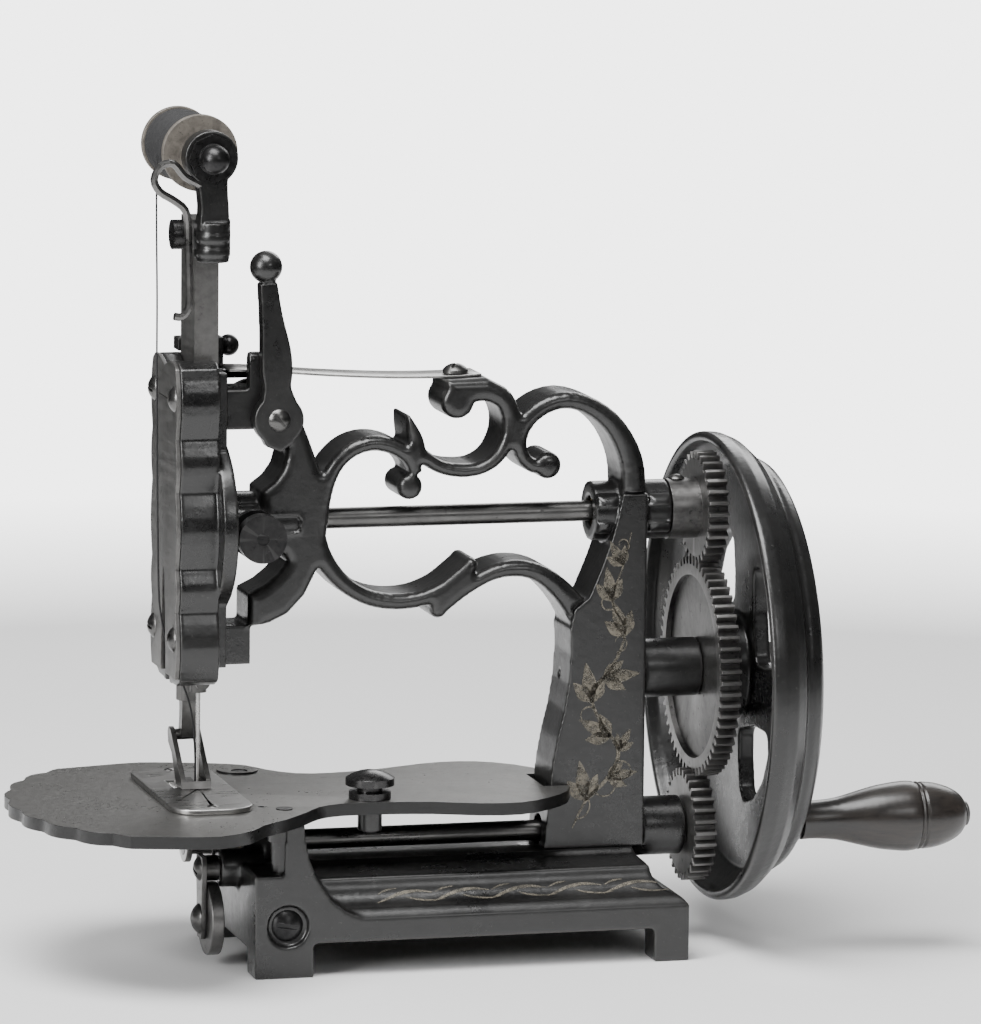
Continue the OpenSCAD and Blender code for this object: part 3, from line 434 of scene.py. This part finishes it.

# ---------- leaf spring, with softened edges --------------
src = frame["nodes"]["leaf_spring"]
spring = bpy.data.objects.new("spring_leaf", src.data.copy())
bpy.context.scene.collection.objects.link(spring)
spring_weld = spring.modifiers.new("weld", "WELD")
spring_weld.merge_threshold = WELD_REACH
spring_edges = spring.modifiers.new("edges", "BEVEL")
spring_edges.width = 0.15 * MM
spring_edges.segments = 2
apply_modifiers(spring)
smooth_faces(spring.data)
paint(spring, "bright_steel")
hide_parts("leaf_spring")
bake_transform(spring)

# ---------- faded gilt ornament ----------
def gilt(name):
    mat, t, b = shader(name)
    tarnish = noise(t, 180, 7, 0.7)
    dull, fresh = (0.10, 0.092, 0.075), (0.24, 0.215, 0.17)
    put(t, b.inputs["Base Color"], mix(t, remap(t, tarnish, 0.35, 0.65), dull, fresh))
    b.inputs["Metallic"].default_value = 0.35
    put(t, b.inputs["Roughness"], remap(t, tarnish, 0.3, 0.7, 0.5, 0.34))
    clear = t.nodes.new("ShaderNodeBsdfTransparent")
    blend = t.nodes.new("ShaderNodeMixShader")
    t.links.new(remap(t, noise(t, 420, 6, 0.75), 0.42, 0.66, 0.12, 0.8), blend.inputs[0])
    t.links.new(b.outputs[0], blend.inputs[1])
    t.links.new(clear.outputs[0], blend.inputs[2])
    t.links.new(blend.outputs[0], t.nodes["Material Output"].inputs[0])
    return mat


def spline(points, steps=6):
    """A smooth curve through (u, v, width) points."""
    out = []
    last = len(points) - 1
    for i in range(last):
        a, b, c, d = points[max(i - 1, 0)], points[i], points[i + 1], points[min(i + 2, last)]
        for s in range(steps):
            t = s / steps
            out.append([0.5 * (2 * b[k] + (c[k] - a[k]) * t + (2 * a[k] - 5 * b[k] + 4 * c[k] - d[k]) * t * t
                               + (3 * b[k] - a[k] - 3 * c[k] + d[k]) * t ** 3) for k in range(3)])
    out.append(list(points[-1]))
    return out


def ornament(name, strokes, place):
    """Flat tapering brush strokes laid on a surface by place(u, v)."""
    verts, faces = [], []
    for stroke in strokes:
        q = spline(stroke)
        for i, (u, v, w) in enumerate(q):
            a, b = q[max(i - 1, 0)], q[min(i + 1, len(q) - 1)]
            du, dv = b[0] - a[0], b[1] - a[1]
            n = math.hypot(du, dv) or 1
            for side in (-0.5, 0.5):
                verts.append(place(u - side * dv / n * w, v + side * du / n * w))
            if i:
                k = len(verts) - 4
                faces.append((k, k + 1, k + 3, k + 2))
    obj = new_piece(name, verts, faces, "frame", "brass")
    obj.data.materials.clear()
    obj.data.materials.append(GILT)


def leaf_stroke(u, v, angle, length, width):
    c, s = math.cos(math.radians(angle)), math.sin(math.radians(angle))
    shape = ((0, 0.1), (0.25, 0.75), (0.5, 1.0), (0.8, 0.5), (1.0, 0.05))
    return [(u + c * f * length, v + s * f * length, w * width) for f, w in shape]


def curl_stroke(u, v, angle, size, turn, width):
    """A small tendril that winds in on itself."""
    pts = []
    heading = angle
    step = size
    for i in range(8):
        pts.append((u, v, width * (1 - i / 9)))
        u += step * math.cos(math.radians(heading))
        v += step * math.sin(math.radians(heading))
        heading += turn
        step *= 0.86
    return pts


GILT = gilt("faded_gilt")
vine = [[(36, 44, 0.5), (41, 54, 1.2), (49, 62, 1.4), (53, 72, 1.4), (46, 83, 1.3), (43, 93, 1.2),
         (51, 104, 1.2), (55, 116, 0.8), (50, 127, 0.7), (54, 140, 0.6), (57, 152, 0.3)]]
for u, v, angle, size in ((41, 54, 100, 13), (49, 62, 10, 10), (53, 72, 60, 8), (50, 77, 150, 12),
                          (43, 90, 100, 13),
                          (47, 99, 5, 12), (55, 114, 110, 12), (50, 127, 100, 11), (54, 140, 120, 9)):
    for spread in (-34, 0, 34):
        vine.append(leaf_stroke(u, v, angle + spread, size * (1.15 if spread == 0 else 0.8), size * 0.4))
for u, v, angle, size, turn in ((37, 47, 20, 3.6, 34), (44, 57, -30, 3.2, 36), (52, 68, 0, 3, -36),
                                (44, 88, 170, 2.6, 38),
                                (52, 108, 20, 2.6, 40), (50, 124, 180, 2.2, -40), (55, 145, 60, 2, 40)):
    vine.append(curl_stroke(u, v, angle, size, turn, 0.7))
ornament("gilt_vine", vine, lambda u, v: at(u, -COLUMN_Y, v))

scrolls = []
for i in range(5):
    u = -43 + 21 * i
    scrolls.append([(u, -2.9, 0.3), (u + 4, -0.9, 1.0), (u + 9, 1.1, 1.3), (u + 15, 2.0, 1.0),
                    (u + 21, 1.2, 0.3)])
    scrolls.append([(u + 11, -0.3, 0.3), (u + 15, -1.7, 0.9), (u + 20, -2.4, 0.7), (u + 25, -1.9, 0.2)])
    scrolls.append([(u + 1, 1.2, 0.2), (u + 4, 2.6, 0.7), (u + 8, 3.2, 0.2)])
COVE_MIDDLE = math.radians(-46)
COVE_R = 9.25


def cove(u, v):
    """The hollow moulding of the base: v runs up it, in mm from its middle."""
    a = COVE_MIDDLE + v / COVE_R
    return at(u, -41.3 + COVE_R * math.cos(a), 33 + COVE_R * math.sin(a))


ornament("gilt_scrolls", scrolls, cove)

# ---------- stage ----------
def disc_floor(radius, sides=96):
    angles = [2 * math.pi * k / sides for k in range(sides)]
    ring = [(radius * math.cos(a), radius * math.sin(a), 0) for a in angles]
    mesh = bpy.data.meshes.new("ground")
    mesh.from_pydata(ring, [], [tuple(range(sides))])
    floor = bpy.data.objects.new("ground", mesh)
    bpy.context.scene.collection.objects.link(floor)
    mesh.materials.append(pale_ground("ground", (0.86, 0.86, 0.86)))


disc_floor(1.2)


def softbox(name, place, aim, size, power, tone=(1, 1, 1)):
    data = bpy.data.lights.new(name, "AREA")
    data.shape = "RECTANGLE"
    data.size, data.size_y = size
    data.energy = power
    data.color = tone
    obj = bpy.data.objects.new(name, data)
    obj.location = place
    obj.rotation_euler = (Vector(aim) - Vector(place)).to_track_quat("-Z", "Y").to_euler()
    bpy.context.scene.collection.objects.link(obj)


AIM = (0, 0, 0.13)
softbox("top_box", (-0.35, -0.35, 1.6), AIM, (1.3, 0.9), 46)
softbox("left_box", (-1.7, -0.9, 0.9), AIM, (0.7, 1.2), 40)
softbox("front_box", (0.5, -1.9, 1.0), AIM, (0.5, 0.4), 4)
softbox("back_box", (0.9, 1.5, 1.1), AIM, (1.2, 0.8), 14)

world = bpy.data.worlds.new("studio")
bpy.context.scene.world = world
world.use_nodes = True
wt = world.node_tree
wt.nodes.clear()
w_out = wt.nodes.new("ShaderNodeOutputWorld")
w_mix = wt.nodes.new("ShaderNodeMixShader")
w_seen = wt.nodes.new("ShaderNodeBackground")
w_lit = wt.nodes.new("ShaderNodeBackground")
w_path = wt.nodes.new("ShaderNodeLightPath")
w_seen.inputs[0].default_value = (1, 1, 1, 1)
w_seen.inputs[1].default_value = 4.2
w_where = wt.nodes.new("ShaderNodeTexCoord")
w_axes = wt.nodes.new("ShaderNodeSeparateXYZ")
w_fall = wt.nodes.new("ShaderNodeMapRange")
for key, v in (("From Min", -0.1), ("From Max", 0.9), ("To Min", 0.02), ("To Max", 0.26)):
    w_fall.inputs[key].default_value = v
w_lit.inputs[0].default_value = (1, 1, 1, 1)
wt.links.new(w_where.outputs["Generated"], w_axes.inputs[0])
wt.links.new(w_axes.outputs["Z"], w_fall.inputs["Value"])
wt.links.new(w_fall.outputs[0], w_lit.inputs[1])
wt.links.new(w_path.outputs["Is Camera Ray"], w_mix.inputs[0])
wt.links.new(w_lit.outputs[0], w_mix.inputs[1])
wt.links.new(w_seen.outputs[0], w_mix.inputs[2])
wt.links.new(w_mix.outputs[0], w_out.inputs[0])

# ---------- camera ----------
azimuth, elevation, roll = math.radians(14.94), math.radians(8.52), math.radians(0.58)
look = Vector((math.sin(azimuth) * math.cos(elevation), math.cos(azimuth) * math.cos(elevation),
               -math.sin(elevation)))
right = look.cross(Vector((0, 0, 1))).normalized()
up = right.cross(look)
right = math.cos(roll) * right + math.sin(roll) * up
up = right.cross(look)
pose = Matrix((right, up, -look)).transposed().to_4x4()
pose.translation = Vector((-0.6612 + SHIFT * MM, -2.5055, 0.5475))
camera_data = bpy.data.cameras.new("camera")
camera_data.sensor_fit = "AUTO"
camera_data.sensor_width = 36
camera_data.lens = 255.3
camera = bpy.data.objects.new("camera", camera_data)
camera.matrix_world = pose
bpy.context.scene.collection.objects.link(camera)
bpy.context.scene.camera = camera
